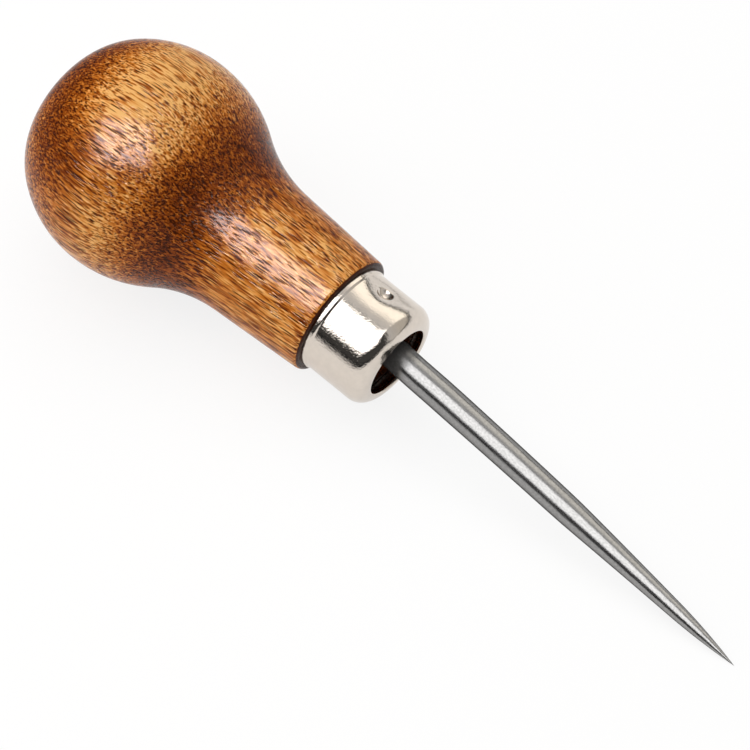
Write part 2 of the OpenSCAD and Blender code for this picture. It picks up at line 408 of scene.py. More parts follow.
def handle_rings(settings):
    """Rings of the handle's turned outline, of its dented tenon, of the tenon's end face and of the bore.

    The end face runs straight from the edge of the tenon to the edge of the bore, and the bore is a round
    hole for the shank and then a square taper for the tang, both on the leaning axis of the blade.
    """
    ferrule = settings.ferrule
    blade = settings.blade
    even = even_turn(HANDLE_STEPS)
    outside = turned(handle_outline(settings.handle, ferrule), even)
    tenon = tenon_radius(ferrule)
    end = tenon_end(ferrule)
    side = turned(line((tenon, -settings.handle.face_back), (tenon, end), LONG_ROWS)[1:], even)
    side = press_in(side, dimple_dent(side, tenon, ferrule, ferrule.sheet + ferrule.fit))
    turn = even - (blade.lean_turn - 0.5 * math.pi)
    bore = 0.5 * blade.width + blade.fit
    bore_end = shank_end(ferrule, blade) - blade.fit
    hole = line((bore, end - ferrule.reach), (bore, bore_end), MID_ROWS)
    hole = blade_line(turned(hole, turn), blade, ferrule)
    along = blade_line(np.array([[0.0, 0.0, 1.0], [0.0, 0.0, 0.0]]), blade, ferrule)
    heading = along[0] - along[1]
    hole[0] += ((end - hole[0][:, 2]) / heading[2])[:, None] * heading
    mix = np.linspace(0.0, 1.0, MID_ROWS)[1:-1, None, None]
    end_face = side[-1] * (1.0 - mix) + hole[0] * mix
    wide = 0.5 * blade.tang_width + blade.fit
    narrow = 0.5 * blade.tang_end_width + blade.fit
    slot_end = bore_end - blade.tang_length
    slot = blade_line(squared(line((wide, bore_end), (narrow, slot_end), MID_ROWS), turn), blade, ferrule)
    bottom = blade_line(np.array([0.0, 0.0, slot_end]), blade, ferrule)
    return outside, side, end_face, np.concatenate([hole, slot]), bottom


def ferrule_rings(settings):
    """Rings of the ferrule: one closed outline of the sheet carried round the axis and dimpled.

    Outside it runs from the edge at the shoulder along a low collar, down a smooth step to the barrel, and
    over the quarter-round nose to the rounded lip of the mouth. Inside it comes back one sheet smaller. Rows
    and steps crowd together round the dimple.
    """
    ferrule = settings.ferrule
    outer = 0.5 * ferrule.width
    inner = outer - ferrule.sheet
    mouth = 0.5 * ferrule.mouth_width
    edge = ferrule.rim_edge
    lip = ferrule.mouth_edge
    raised = outer + ferrule.collar_rise
    step_end = ferrule.collar_length + ferrule.collar_slope
    nose_z = ferrule.reach - ferrule.nose_radius
    nose_r = outer - ferrule.nose_radius
    inner_z = ferrule.reach - ferrule.sheet
    dimple_start = ferrule.dimple_place - DIMPLE_SPAN * ferrule.dimple_width
    dimple_end = ferrule.dimple_place + DIMPLE_SPAN * ferrule.dimple_width
    start = -settings.handle.face_back
    rim = arc(raised - edge, start + edge, edge, -0.5 * math.pi, 0.0, EDGE_ROWS)
    step_z = np.linspace(ferrule.collar_length, step_end, EDGE_ROWS)
    fall = eased((step_z - ferrule.collar_length) / ferrule.collar_slope)
    step = np.column_stack([raised - ferrule.collar_rise * fall, step_z])
    before = line((outer, step_end), (outer, dimple_start), EDGE_ROWS)[1:]
    dented = line((outer, dimple_start), (outer, dimple_end), LONG_ROWS)[1:]
    after = line((outer, dimple_end), (outer, nose_z), EDGE_ROWS)[1:-1]
    nose = arc(nose_r, nose_z, ferrule.nose_radius, 0.0, 0.5 * math.pi, MID_ROWS)
    mouth_out = arc(mouth + lip, ferrule.reach - lip, lip, 0.5 * math.pi, math.pi, EDGE_ROWS)
    mouth_in = arc(mouth + lip, inner_z + lip, lip, math.pi, 1.5 * math.pi, EDGE_ROWS)
    inner_nose_radius = ferrule.nose_radius - ferrule.sheet
    inner_nose = arc(nose_r, nose_z, inner_nose_radius, 0.5 * math.pi, 0.0, EDGE_ROWS)[1:]
    inner_barrel = line((inner, nose_z), (inner, start), LONG_ROWS)[1:]
    turn = crowded_turn(FERRULE_STEPS, dimple_middle(ferrule))
    outside = turned(np.vstack([rim, step, before, dented, after, nose, mouth_out]), turn)
    inside = turned(np.vstack([mouth_in, inner_nose, inner_barrel]), turn)
    outside = press_in(outside, dimple_dent(outside, outer, ferrule, 0.0))
    inside = press_in(inside, dimple_dent(inside, inner, ferrule, ferrule.sheet))
    return np.concatenate([outside, inside])


def blade_bow(height, blade):
    """How far the blade's line sags at each height: 4 x (1 - x) of the bow, with x from mouth to tip.

    It comes in smoothly over the first part, so that the line stays straight where it enters the mouth.
    """
    run = np.clip(height / blade.reach, 0.0, 1.0)
    return -4.0 * blade.bow * run * (1.0 - run) * eased(run / BOW_START)


def blade_rings(settings):
    """Rings of the blade from the end of its tang to its tip.

    The tang is a square taper. The shank is round, and its radius falls off at two rates that blend softly
    into each other: a slight draw, then the taper. The ground point is an arc through its start and the tip
    that meets the axis at the tip angle. Shank and point are bowed a little.
    """
    blade = settings.blade
    ferrule = settings.ferrule
    shank = 0.5 * blade.width
    waist = 0.5 * blade.taper_width
    point = 0.5 * blade.point_width
    seat_end = shank_end(ferrule, blade)
    taper_start = blade.reach - blade.taper_length
    point_start = blade.reach - blade.point_length
    turn = even_turn(BLADE_STEPS)
    tang_start = (0.5 * blade.tang_end_width, seat_end - blade.tang_length)
    tang = squared(line(tang_start, (0.5 * blade.tang_width, seat_end), MID_ROWS), turn)
    shank_z = np.linspace(seat_end, point_start, 3 * LONG_ROWS)
    draw = (shank - waist) / (taper_start - blade.straight)
    taper = (waist - point) / (point_start - taper_start)
    shank_r = (shank - draw * rounded_floor(shank_z - blade.straight, blade.blend)
               - (taper - draw) * rounded_floor(shank_z - taper_start, blade.blend))
    bend = (point ** 2 + blade.point_length ** 2) / (
        2.0 * (blade.point_length * math.sin(blade.tip_angle) - point * math.cos(blade.tip_angle)))
    bend_r = -bend * math.cos(blade.tip_angle)
    bend_z = blade.reach - bend * math.sin(blade.tip_angle)
    point_z = np.linspace(point_start, blade.reach, 2 * LONG_ROWS)[1:-1]
    point_r = bend_r + np.sqrt(bend ** 2 - (point_z - bend_z) ** 2)
    height = np.concatenate([shank_z, point_z])
    steel = turned(np.column_stack([np.concatenate([shank_r, point_r]), height]), turn)
    steel[..., 0] += blade_bow(height, blade)[:, None]
    rings = blade_line(np.concatenate([tang, steel]), blade, ferrule)
    ends = np.array([[0.0, 0.0, tang_start[1]], [0.0, 0.0, blade.reach]])
    return rings, blade_line(ends, blade, ferrule)


# Finishes


class Recipe:
    """Adds shader nodes to one node tree. An input is a socket to join, or a value to set."""

    def __init__(self, tree):
        self.tree = tree

    def add(self, kind, inputs=None, **choices):
        """A node of one kind, with its choices set and its inputs joined or set."""
        node = self.tree.nodes.new(kind)
        for name, value in choices.items():
            setattr(node, name, value)
        for name, value in (inputs or {}).items():
            self.put(node.inputs[name], value)
        return node

    def put(self, socket, value):
        """Joins a socket to an input, or sets the input's own value."""
        if isinstance(value, bpy.types.NodeSocket):
            self.tree.links.new(value, socket)
        else:
            socket.default_value = value

    def sum(self, operation, *values):
        """One step of arithmetic."""
        return self.add("ShaderNodeMath", dict(enumerate(values)), operation=operation).outputs[0]

    def stretch(self, vector, scale):
        """A vector with each part multiplied."""
        node = self.add("ShaderNodeVectorMath", {0: vector, 1: scale}, operation="MULTIPLY")
        return node.outputs[0]

    def between(self, value, low, high, out_low=0.0, out_high=1.0):
        """A value taken smoothly from one range to another."""
        inputs = {"Value": value, "From Min": low, "From Max": high, "To Min": out_low, "To Max": out_high}
        return self.add("ShaderNodeMapRange", inputs, interpolation_type="SMOOTHSTEP").outputs[0]

    def noise(self, vector, grains, detail, roughness, output="Fac"):
        """Soft noise, with so many grains to a unit along each axis."""
        inputs = {"Vector": self.stretch(vector, grains), "Scale": 1.0}
        inputs.update({"Detail": detail, "Roughness": roughness})
        return self.add("ShaderNodeTexNoise", inputs).outputs[output]

    def cells(self, vector, grains):
        """Scattered points, so many to a unit along each axis: distance to the nearest, and its colour."""
        inputs = {"Vector": self.stretch(vector, grains), "Scale": 1.0, "Randomness": 1.0}
        return self.add("ShaderNodeTexVoronoi", inputs).outputs

    def relief(self, height, strength, distance):
        """A surface direction tipped by the slope of a height."""
        inputs = {"Height": height, "Strength": strength, "Distance": distance}
        return self.add("ShaderNodeBump", inputs).outputs[0]

    def ramp(self, value, stops):
        """A colour looked up between stops of (place, colour)."""
        node = self.add("ShaderNodeValToRGB", {0: value})
        elements = node.color_ramp.elements
        while len(elements) < len(stops):
            elements.new(0.5)
        for element, (place, tint) in zip(elements, stops):
            element.position = place
            element.color = (*tint, 1.0)
        return node.outputs[0]

    def mix(self, factor, first, second):
        """Two values mixed: the first where the factor is 0 and the second where it is 1."""
        node = self.add("ShaderNodeMix", data_type="FLOAT")
        self.put(node.inputs["Factor"], factor)
        self.put(node.inputs["A"], first)
        self.put(node.inputs["B"], second)
        return node.outputs["Result"]

    def blend(self, factor, first, second, way="MIX"):
        """Two colours blended."""
        node = self.add("ShaderNodeMix", data_type="RGBA", blend_type=way)
        self.put(node.inputs["Factor"], factor)
        colour_sockets = [socket for socket in node.inputs if socket.type == "RGBA"]
        self.put(colour_sockets[0], first)
        self.put(colour_sockets[1], second)
        return [socket for socket in node.outputs if socket.type == "RGBA"][0]


def material_for(name):
    """A new material with an empty tree, and a recipe for it."""
    material = bpy.data.materials.new(name)
    material.use_nodes = True
    material.node_tree.nodes.clear()
    return material, Recipe(material.node_tree)


def close_material(recipe, shader):
    """Joins the finished shader to the material's output."""
    recipe.add("ShaderNodeOutputMaterial", {"Surface": shader})


def own_axes(recipe, origin, heading):
    """Object coordinates in millimetres on axes of the piece's own, with z along the heading."""
    across = SIDE.cross(heading).normalized()
    side = heading.cross(across)
    turn = Matrix((across, side, heading)).transposed().to_euler()
    place = recipe.add("ShaderNodeTexCoord").outputs["Object"]
    mapping = recipe.add("ShaderNodeMapping", {"Vector": place}, vector_type="TEXTURE")
    mapping.inputs["Location"].default_value = origin
    mapping.inputs["Rotation"].default_value = turn
    mapping.inputs["Scale"].default_value = (MM, MM, MM)
    return mapping.outputs[0]


# Slope of the fibres towards the side and towards the top
GRAIN_TILT = 0.055
GRAIN_RISE = 0.03


def grain_heading():
    """The way the fibres run: along the axis, tipped a little towards the side and the top."""
    return (AXIS + SIDE * GRAIN_TILT - DOWN * GRAIN_RISE).normalized()


def opaque(tint):
    """A colour with full opacity."""
    return (*tint, 1.0)


def pore_gap(recipe, place, grains, chance_range, size_range):
    """Distance to the nearest pore as a multiple of that pore's own size.

    Pores are scattered cells drawn out along the grain, and each has its own chance number. Sizes rise
    smoothly over the range of chances, and the pores below that range all have the smallest size.
    """
    cells = recipe.cells(place, grains)
    chance = recipe.add("ShaderNodeSeparateColor", {0: cells["Color"]}).outputs[0]
    return recipe.sum("DIVIDE", cells["Distance"], recipe.between(chance, *chance_range, *size_range))


# Grains to a millimetre in the wood, two numbers across the fibres and one along them
DRIFT_GRAINS = (0.09, 0.09, 0.05)
FIBRE_GRAINS = (3.0, 3.0, 0.28)
STREAK_GRAINS = (4.0, 4.0, 0.28)
BLOTCH_GRAINS = (0.35, 0.35, 0.1)
LARGE_PORES = (4.4, 4.4, 0.26)
SMALL_PORES = (5.5, 5.5, 0.3)
# How far the fibres wander, in millimetres
WANDER = (1.2, 1.2, 0.0)
# Chances and sizes of the large and the small pores
LARGE_CHANCES = (0.0, 1.0)
LARGE_SIZES = (0.12, 0.5)
SMALL_CHANCES = (0.2, 1.0)
SMALL_SIZES = (0.05, 0.42)
# Where a pore, a small pore, the painted glint at the edge of a pore and its dent end, as multiples of the
# pore's size
PORE_EDGE = (0.6, 1.05)
SMALL_PORE_EDGE = (0.7, 1.0)
PORE_GLINT_EDGE = (1.05, 1.6)
DENT_EDGE = (0.7, 1.4)
# Part of the noise over which a dark line fades
STREAK_EDGE = (0.38, 0.48)
# What each adds to the tone, the painted glint at a pore's edge among them, and the share of a pore's
# darkness that a small pore has
PORE_TONE = -0.95
SMALL_PORE_SHARE = 0.6
PORE_GLINT_TONE = 0.16
STREAK_TONES = (-0.36, 0.09)
BLOTCH_TONE = 0.25
FIBRE_TONE = 0.85
CUT_FIBRE_TONE = 0.5
# How far the fibres stand up, and how much more where they are cut across, beside a pore's dent of 1
FIBRE_HEIGHT = 0.3
CUT_FIBRE_HEIGHT = 1.2
# Tones at which the colours lie, from that of the pores to the palest
TONE_STOPS = (0.0, 0.2, 0.45, 0.7, 0.85, 1.0)
# Heights of the relief of the wood, of the varnish, of the plate and of the steel
WOOD_RELIEF = 0.06 * MM
COAT_RELIEF = 0.035 * MM
PLATE_RELIEF = 0.036 * MM
STEEL_RELIEF = 0.02 * MM
# Share of the varnish that covers sound wood and an open pore, and the part of a pore over which it changes
COAT_SHARES = (1.0, 0.25)
COAT_EDGE = (0.2, 0.9)


def wood_material(colours, shoulder):
    """Stained, open-pored hardwood under a thin varnish.

    The surface's own tone says how pale the stain is, with painted light and shade in places. Fibres, thin
    dark lines and wide blotches are noise drawn out along the grain, and pores are drawn-out cells edged with
    a painted glint. Each shifts the tone. Fibres shift it more where the grain is cut across. Fibres and
    pores give the wood and the varnish their relief.
    """
    material, recipe = material_for("handle_wood_varnished")
    place = own_axes(recipe, shoulder, grain_heading())
    drift = recipe.noise(place, DRIFT_GRAINS, detail=1.0, roughness=0.5, output="Color")
    wander = recipe.add("ShaderNodeVectorMath", {0: drift, 1: WANDER, 2: place}, operation="MULTIPLY_ADD")
    grain = wander.outputs[0]
    tone = recipe.add("ShaderNodeAttribute", attribute_name="tone").outputs["Fac"]
    cut = recipe.add("ShaderNodeAttribute", attribute_name="cut").outputs["Fac"]
    fibre = recipe.noise(grain, FIBRE_GRAINS, detail=1.0, roughness=0.5)
    streak = recipe.noise(grain, STREAK_GRAINS, detail=1.0, roughness=0.5)
    blotch = recipe.noise(grain, BLOTCH_GRAINS, detail=2.0, roughness=0.5)
    large = pore_gap(recipe, grain, LARGE_PORES, LARGE_CHANCES, LARGE_SIZES)
    small = pore_gap(recipe, grain, SMALL_PORES, SMALL_CHANCES, SMALL_SIZES)
    small_pore = recipe.between(small, *SMALL_PORE_EDGE, SMALL_PORE_SHARE, 0.0)
    pore = recipe.sum("MAXIMUM", recipe.between(large, *PORE_EDGE, 1.0, 0.0), small_pore)
    fibre_tone = recipe.sum("MULTIPLY_ADD", cut, CUT_FIBRE_TONE, FIBRE_TONE)
    shift = recipe.sum("MULTIPLY", recipe.sum("SUBTRACT", fibre, 0.5), fibre_tone)
    shift = recipe.sum("ADD", recipe.between(streak, *STREAK_EDGE, *STREAK_TONES), shift)
    shift = recipe.sum("MULTIPLY_ADD", recipe.sum("SUBTRACT", blotch, 0.5), BLOTCH_TONE, shift)
    # Painted glint: a pale edge round each large pore
    shift = recipe.sum("ADD", recipe.between(large, *PORE_GLINT_EDGE, PORE_GLINT_TONE, 0.0), shift)
    shift = recipe.sum("MULTIPLY_ADD", pore, PORE_TONE, shift)
    tints = (colours.pore, colours.wood_dark, colours.wood_brown,
             colours.wood_gold, colours.wood_straw, colours.wood_pale)
    paint = recipe.ramp(recipe.sum("ADD", tone, shift), list(zip(TONE_STOPS, tints)))
    fibre_height = recipe.sum("MULTIPLY_ADD", cut, CUT_FIBRE_HEIGHT, FIBRE_HEIGHT)
    height = recipe.sum("MULTIPLY_ADD", fibre, fibre_height, recipe.between(large, *DENT_EDGE, -1.0, 0.0))
    shader = recipe.add("ShaderNodeBsdfPrincipled", {
        "Base Color": paint, "Roughness": 0.6, "Specular IOR Level": 0.0,
        "Normal": recipe.relief(height, strength=0.8, distance=WOOD_RELIEF),
        "Coat Weight": recipe.between(pore, *COAT_EDGE, *COAT_SHARES), "Coat Roughness": 0.18,
        "Coat IOR": 1.2, "Coat Normal": recipe.relief(height, strength=0.8, distance=COAT_RELIEF)})
    close_material(recipe, shader.outputs[0])
    return material


# Grains to a millimetre in the plate and in the steel, the steel's last number along the blade
PEEL_GRAINS = (3.6, 3.6, 3.6)
CLOUD_GRAINS = (0.8, 0.8, 0.8)
SCRATCH_GRAINS = (9.0, 9.0, 0.35)
MOTTLE_GRAINS = (4.5, 4.5, 3.0)
# Part of a noise over which a finish changes
NOISE_EDGE = (0.3, 0.7)
# How dark the clouds of the plate and the mottle of the steel are
CLOUD_SHADE = 0.95
MOTTLE_SHADE = 0.78
# Roughness of the plate and of the steel, from their smoothest to their roughest parts
PLATE_ROUGHNESS = (0.035, 0.055)
STEEL_ROUGHNESS = (0.17, 0.25)
# Share of the mottle in the steel's relief, beside scratches of 1
MOTTLE_RELIEF = 1.2
# Where the painted shade at the blade's root fades out and where the root turns from dull to metal, in
# millimetres from the mouth
ROOT_SHADE_EDGE = (1.2, 2.8)
METAL_EDGE = (0.8, 2.4)
# Share of the steel's brightness that the painted shade leaves and of its metal at the root, and the tint of
# the root's dull gloss
ROOT_SHARE = 0.5
ROOT_GLOSS = (0.12, 0.12, 0.12)


def shaded(recipe, noise, tint, shade):
    """A colour that noise takes down to a darker shade of itself."""
    dark = [shade * part for part in tint]
    return recipe.blend(recipe.between(noise, *NOISE_EDGE), opaque(tint), opaque(dark))


def nickel_material(colours, shoulder):
    """Bright nickel plate with a fine orange peel and faint clouding."""
    material, recipe = material_for("ferrule_nickel")
    place = own_axes(recipe, shoulder, AXIS)
    peel = recipe.noise(place, PEEL_GRAINS, detail=2.0, roughness=0.55)
    cloud = recipe.noise(place, CLOUD_GRAINS, detail=3.0, roughness=0.6)
    shader = recipe.add("ShaderNodeBsdfPrincipled", {
        "Base Color": shaded(recipe, cloud, colours.nickel, CLOUD_SHADE), "Metallic": 1.0,
        "Roughness": recipe.between(cloud, *NOISE_EDGE, *PLATE_ROUGHNESS),
        "Normal": recipe.relief(peel, strength=0.7, distance=PLATE_RELIEF)})
    close_material(recipe, shader.outputs[0])
    return material


def steel_material(colours, base, heading, mouth):
    """Drawn steel with fine scratches along a satin polish and a light mottle.

    Where the blade leaves the mouth its colour is darkened with painted shade, and only half of it reflects
    as metal.
    """
    material, recipe = material_for("blade_drawn_steel")
    place = own_axes(recipe, base, heading)
    scratch = recipe.noise(place, SCRATCH_GRAINS, detail=3.0, roughness=0.6)
    mottle = recipe.noise(place, MOTTLE_GRAINS, detail=2.0, roughness=0.6)
    along = recipe.add("ShaderNodeSeparateXYZ", {0: place}).outputs["Z"]
    past_mouth = recipe.sum("SUBTRACT", along, mouth)
    # Painted shade on the blade next to the mouth
    root_shade = recipe.between(past_mouth, *ROOT_SHADE_EDGE, ROOT_SHARE, 1.0)
    tint = recipe.blend(1.0, shaded(recipe, mottle, colours.steel, MOTTLE_SHADE), root_shade, "MULTIPLY")
    height = recipe.sum("MULTIPLY_ADD", mottle, MOTTLE_RELIEF, scratch)
    shader = recipe.add("ShaderNodeBsdfPrincipled", {
        "Base Color": tint, "Metallic": recipe.between(past_mouth, *METAL_EDGE, ROOT_SHARE, 1.0),
        "Roughness": recipe.between(scratch, *NOISE_EDGE, *STEEL_ROUGHNESS),
        "Normal": recipe.relief(height, strength=0.3, distance=STEEL_RELIEF),
        "Specular Tint": opaque(ROOT_GLOSS)})
    close_material(recipe, shader.outputs[0])
    return material


def grain_cut(outside):
    """How squarely the surface cuts across the grain: its normal's part along the grain, from -1 to 1."""
    along = np.gradient(outside, axis=0)
    round_it = np.roll(outside, -1, 1) - np.roll(outside, 1, 1)
    normal = np.cross(round_it, along)
    normal /= np.maximum(np.linalg.norm(normal, axis=-1, keepdims=True), TINY)
    return normal @ (np.array([DOWN, SIDE, AXIS]) @ np.array(grain_heading()))


# Angle round the axis of the middle of the side in view: a place across is the sine of the angle from it
VIEW_SIDE = math.radians(-151.3)
# Starts of changes of the tone and the lengths they take, in millimetres along the axis from its zero
BULB_EDGE = (-28.5, -6.0)
GRIP_EDGE = (-19.0, 6.0)
DUSK_FRONT = (-35.0, -4.0)
DUSK_BACK = (-49.0, 4.5)
BUTT_EDGE = (-43.0, -4.0)
# The neck's middle, how far it bends at the sides, and the widths of its bell curve behind and in front
NECK_PLACE = -23.6
NECK_BEND = 1.2
NECK_WIDTHS = (4.8, 5.6)
# Starts of changes of the tone and the lengths they take, across
PALE_EDGE = (0.15, -0.4)
FAR_EDGE = (-0.45, -0.55)
# Across which painted light makes the lower side of the butt paler
BUTT_PAINTED_LIGHT_SIDE = (-0.2, 0.8)
# Middle and width across of the dusky strip of painted shade
DUSK_ACROSS = (0.38, 0.22)
# Starts of changes of the tone and the lengths they take, as the grain is cut more squarely
BUTT_CUT = (-0.12, -0.5)
# Where the shoulder's rim darkens, from its end grain's stain and from painted shade where it turns away
RIM_STAIN_AND_SHADE_CUT = (0.63, 0.1)
# Where the painted shadow on the shoulder's face, next to the ferrule, comes in
FACE_SHADOW_CUT = (0.85, 0.12)
# Tone of the wood, from 0 for the pores' colour to 1 for the palest, and what each change adds or takes; some
# of these changes are painted light, shade and shadow
MIDDLE_TONE = 0.69
PALE_TONE = 0.16
PALE_BULB_TONE = 0.03
FAR_BULB_TONE = 0.08
FAR_GRIP_TONE = 0.22
# Painted shade: the dusky strip along the lower side of the bulb
DUSK_SHADE_TONE = 0.17
NECK_TONE = 0.46
BUTT_TONE = 0.08
# Painted light that makes the butt's lower side paler
BUTT_PAINTED_LIGHT_TONE = 0.28
BUTT_CUT_TONE = 0.36
# The shoulder's rim: its end grain's stain with painted shade
RIM_STAIN_AND_SHADE_TONE = 0.82
# The painted shadow on the shoulder's face next to the ferrule
FACE_SHADOW_TONE = 0.3
# Tone of the wood inside the ferrule, and how open the grain of the tenon's end face is
HIDDEN_TONE = 0.05
END_FACE_CUT = 0.4
# Soft spots in the tone: change of tone, place along and half length in mm, place across and half width
TONE_SPOTS = np.array([
    (0.16, -32.0, 3.2, 0.75, 0.22),
    (-0.2, -39.0, 3.0, 0.4, 0.34),
    (0.06, -43.0, 4.0, 0.8, 0.2),
    (0.09, -40.5, 3.0, -0.2, 0.25),
    (0.1, -37.5, 3.4, -0.75, 0.2),
    (0.09, -32.0, 2.4, -0.5, 0.2),
    (0.2, -29.3, 2.2, -0.15, 0.34),
    (-0.1, -19.5, 2.5, 0.28, 0.18),
    (0.07, -24.0, 6.0, -0.45, 0.2),
    (-0.07, -18.0, 4.0, -0.78, 0.14),
    (-0.1, -48.0, 5.0, -0.4, 0.3),
    (-0.09, -10.0, 8.0, -0.6, 0.25),
    (-0.12, -10.0, 9.0, 0.02, 0.2),
    (-0.15, -32.0, 1.8, 0.02, 0.28),
    (-0.08, -45.0, 3.5, -0.2, 0.35),
])


def rise(value, edge):
    """A smooth step from 0 to 1 that starts at the edge's first number and takes its second to come in."""
    return eased((value - edge[0]) / edge[1])


def bell(value, middle, width):
    """A bell curve that is 1 at its middle: exp(-x^2), with x the distance from there over the width."""
    return np.exp(-((value - middle) / width) ** 2)


def stain_and_painted_light_tone(outside, cut, on_rim):
    """How pale the wood is at each point of the turned outline: its stain, with painted light and shade
    added.

    The bulb and the grip are paler on one side and darken at its far edge. A dusky strip of painted shade
    runs along the lower side of the bulb, and soft spots, which are bell curves along and across, lighten or
    darken the rest. A bell curve along the axis makes the neck dark. The butt is dark where the grain is cut
    across, and painted light makes its lower side paler. The rim of the shoulder is nearly black from the
    stain on its end grain and from painted shade, and its face is darker still with a painted shadow next to
    the ferrule.
    """
    across = np.sin(np.arctan2(outside[..., 1], outside[..., 0]) - VIEW_SIDE)
    place = outside[..., 2] / MM
    on_bulb = rise(place, BULB_EDGE)
    on_grip = rise(place, GRIP_EDGE)
    pale = (PALE_TONE + PALE_BULB_TONE * on_bulb) * rise(across, PALE_EDGE)
    far = (FAR_BULB_TONE * on_bulb + FAR_GRIP_TONE * on_grip) * rise(across, FAR_EDGE)
    # Painted shade: a dusky strip along the lower side of the bulb
    dusk = DUSK_SHADE_TONE * rise(place, DUSK_FRONT) * rise(place, DUSK_BACK) * bell(across, *DUSK_ACROSS)
    amount, spot_place, spot_length, spot_across, spot_width = TONE_SPOTS.T
    spots = bell(place[..., None], spot_place, spot_length) * bell(across[..., None], spot_across, spot_width)
    # The butt is darker, and painted light makes its lower side paler
    butt = (BUTT_PAINTED_LIGHT_TONE * rise(across, BUTT_PAINTED_LIGHT_SIDE) - BUTT_TONE) * rise(place, BUTT_EDGE)
    past_neck = place - (NECK_PLACE + NECK_BEND * across ** 2)
    neck = bell(past_neck, 0.0, np.where(past_neck < 0.0, *NECK_WIDTHS))
    tone = MIDDLE_TONE + (on_bulb + on_grip) * pale - far - dusk + (amount * spots).sum(axis=-1)
    tone += butt - NECK_TONE * neck - BUTT_CUT_TONE * rise(cut, BUTT_CUT)
    # The shoulder's rim gets its end grain's stain and painted shade, and its face a painted shadow next to
    # the ferrule
    return tone - np.where(on_rim, RIM_STAIN_AND_SHADE_TONE * rise(cut, RIM_STAIN_AND_SHADE_CUT) + FACE_SHADOW_TONE * rise(cut, FACE_SHADOW_CUT), 0.0)


def add_values(piece, name, blocks):
    """Gives each point of a piece a value: those of its rings, then those of the poles at its two ends."""
    grid = np.concatenate(blocks)
    values = np.concatenate([grid.ravel(), grid[0, :1], grid[-1, :1]]).astype(np.float32)
    piece.data.attributes.new(name, "FLOAT", "POINT").data.foreach_set("value", values)


def finish_piece(piece, node, material):
    """Gives a piece its material and slot and puts it in the place of a CAD node."""
    piece.data.materials.append(material)
    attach(piece, BODY)
    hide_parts(node)


class BRADAWL_OT_add_handle(bpy.types.Operator):
    """Adds the turned wooden handle with its tenon and bore"""

    bl_idname = "bradawl.add_handle"
    bl_label = "Add Handle"

    def execute(self, context):
        settings = context.scene.bradawl
        shoulder = shoulder_point()
        outside, side, end_face, bore, bottom = handle_rings(settings)
        rings = to_frame(np.concatenate([outside, side, end_face, bore]), shoulder)
        butt = to_frame(np.array([0.0, 0.0, outside[0, 0, 2]]), shoulder)
        piece = skin(HANDLE_NAME, rings, butt, to_frame(bottom, shoulder))
        cut = grain_cut(outside)
        on_rim = outside[..., 2] > -settings.handle.face_back - settings.handle.rim_radius
        hidden = ((side, 0.0), (end_face, END_FACE_CUT), (bore, 0.0))
        hidden_tone = [np.full(block.shape[:2], HIDDEN_TONE) for block, _ in hidden]
        hidden_cut = [np.full(block.shape[:2], amount) for block, amount in hidden]
        add_values(piece, "tone", [stain_and_painted_light_tone(outside, cut, on_rim)] + hidden_tone)
        add_values(piece, "cut", [np.where(on_rim, 0.0, np.abs(cut))] + hidden_cut)
        finish_piece(piece, "handle", wood_material(settings.colours, shoulder))
        return {"FINISHED"}


class BRADAWL_OT_add_ferrule(bpy.types.Operator):
    """Adds the drawn ferrule with its low collar, rounded nose and punched dimple"""

    bl_idname = "bradawl.add_ferrule"
    bl_label = "Add Ferrule"

    def execute(self, context):
        settings = context.scene.bradawl
        shoulder = shoulder_point()
        rings = to_frame(ferrule_rings(settings), shoulder)
        piece = skin(FERRULE_NAME, rings, looped=True)
        finish_piece(piece, "ferrule", nickel_material(settings.colours, shoulder))
        return {"FINISHED"}


class BRADAWL_OT_add_blade(bpy.types.Operator):
    """Adds the round tapered blade with its ground point and square tang"""

    bl_idname = "bradawl.add_blade"
    bl_label = "Add Blade"

    def execute(self, context):
        settings = context.scene.bradawl
        shoulder = shoulder_point()
        rings, ends = blade_rings(settings)
        ends = to_frame(ends, shoulder)
        piece = skin(BLADE_NAME, to_frame(rings, shoulder), ends[0], ends[1])
        whole = Vector(ends[1] - ends[0])
        mouth = (whole.length - settings.blade.reach) / MM
        steel = steel_material(settings.colours, Vector(ends[0]), whole.normalized(), mouth)
        finish_piece(piece, "blade", steel)
        return {"FINISHED"}


def view_axes(stage):
    """The camera's right, up and back directions."""
    around = stage.view_azimuth
    above = stage.view_elevation
    right = Vector((math.cos(around), math.sin(around), 0.0))
    back = Vector((math.sin(around) * math.cos(above), -math.cos(around) * math.cos(above), math.sin(above)))
    return right, back.cross(right), back


# Width of the camera's sensor, in millimetres
SENSOR_WIDTH = 36.0


def add_camera(stage):
    """The camera at the photograph's viewing angle."""
    right, up, back = view_axes(stage)
    aim = up * stage.aim_up - right * stage.aim_left
    data = bpy.data.cameras.new("view")
    data.lens = stage.lens
    data.sensor_width = SENSOR_WIDTH
    camera = bpy.data.objects.new("view", data)
    turn = Matrix((right, up, back)).transposed()
    camera.matrix_world = Matrix.Translation(aim + back * stage.view_distance) @ turn.to_4x4()
    bpy.context.scene.collection.objects.link(camera)
    bpy.context.scene.camera = camera


# Distance of the lamps, in metres
LAMP_DISTANCE = 0.8


def add_lamp(name, direction, width_way, size, level, tint):
    """A rectangular lamp of an even brightness that faces the tool.

    A lamp's power is its brightness times pi times its area.
    """
    data = bpy.data.lights.new(name, "AREA")
    data.shape = "RECTANGLE"
    data.size, data.size_y = size
    data.energy = level * math.pi * size[0] * size[1]
    data.color = tint
    back = direction.normalized()
    side = (width_way - back * width_way.dot(back)).normalized()
    turn = Matrix((side, back.cross(side), back)).transposed()
    lamp = bpy.data.objects.new(name, data)
    lamp.matrix_world = Matrix.Translation(back * LAMP_DISTANCE) @ turn.to_4x4()
    lamp.visible_camera = False
    bpy.context.scene.collection.objects.link(lamp)
    return lamp


